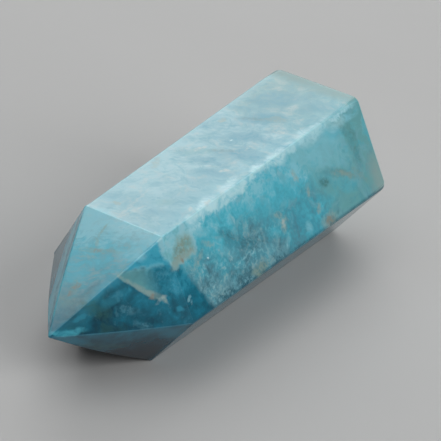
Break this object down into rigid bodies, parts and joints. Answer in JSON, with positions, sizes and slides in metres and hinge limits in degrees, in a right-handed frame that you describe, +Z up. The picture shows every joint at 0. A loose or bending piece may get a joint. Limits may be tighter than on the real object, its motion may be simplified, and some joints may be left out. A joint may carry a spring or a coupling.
{
  "type": "apatite wand",
  "caption": "Polished blue apatite point: a tapered hexagonal stone prism with a flat base and a faceted tip, lying on one of its long faces.",
  "frame": {"origin": "centre of the object's bounding box at the surface that it lies on", "axes": "+X along the stone towards its tip, +Z up from the long face that it lies on"},
  "size_m": [0.0718, 0.0286, 0.0252],
  "materials": {
    "apatite": "polished, translucent blue stone with cloudy veils and tan flakes"
  },
  "bodies": {
    "root": {"wand": "apatite"}
  },
  "joints": []
}
